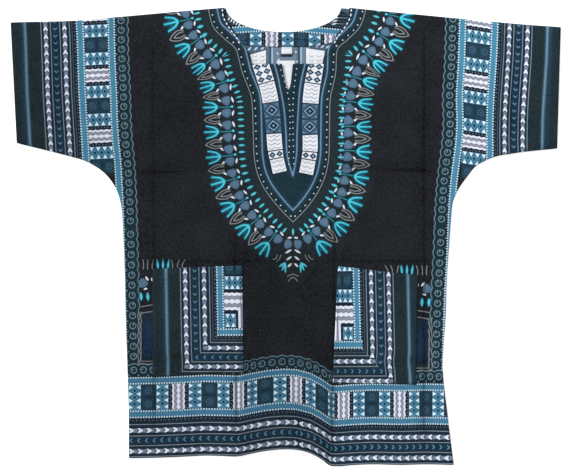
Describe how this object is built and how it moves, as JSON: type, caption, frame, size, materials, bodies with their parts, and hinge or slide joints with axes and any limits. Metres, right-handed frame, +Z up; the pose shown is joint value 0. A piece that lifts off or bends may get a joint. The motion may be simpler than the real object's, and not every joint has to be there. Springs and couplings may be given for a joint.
{
  "type": "dashiki shirt",
  "caption": "Short-sleeved pullover shirt in printed cotton laid flat, with a slit neck, two patch pockets and kimono-cut sleeves.",
  "frame": {"origin": "centre of the shirt's bounding box, on the surface it lies on", "axes": "+X to the right of the picture, +Y towards the neck, +Z up out of the cloth, front side up"},
  "size_m": [0.9618, 0.8022, 0.0075],
  "materials": {
    "cotton_face": "matt printed cotton, near-black ground with teal, blue and white print",
    "cotton_back": "matt printed cotton, wrong side up",
    "cotton_pocket": "matt printed cotton, border print",
    "cotton_facing": "matt printed cotton, border print",
    "woven_label": "satin woven tape"
  },
  "bodies": {
    "root": {"back_panel": "cotton_back", "front_panel": "cotton_face", "pocket_left": "cotton_pocket", "pocket_right": "cotton_pocket", "back_neck_facing": "cotton_facing", "label": "woven_label"}
  },
  "joints": []
}
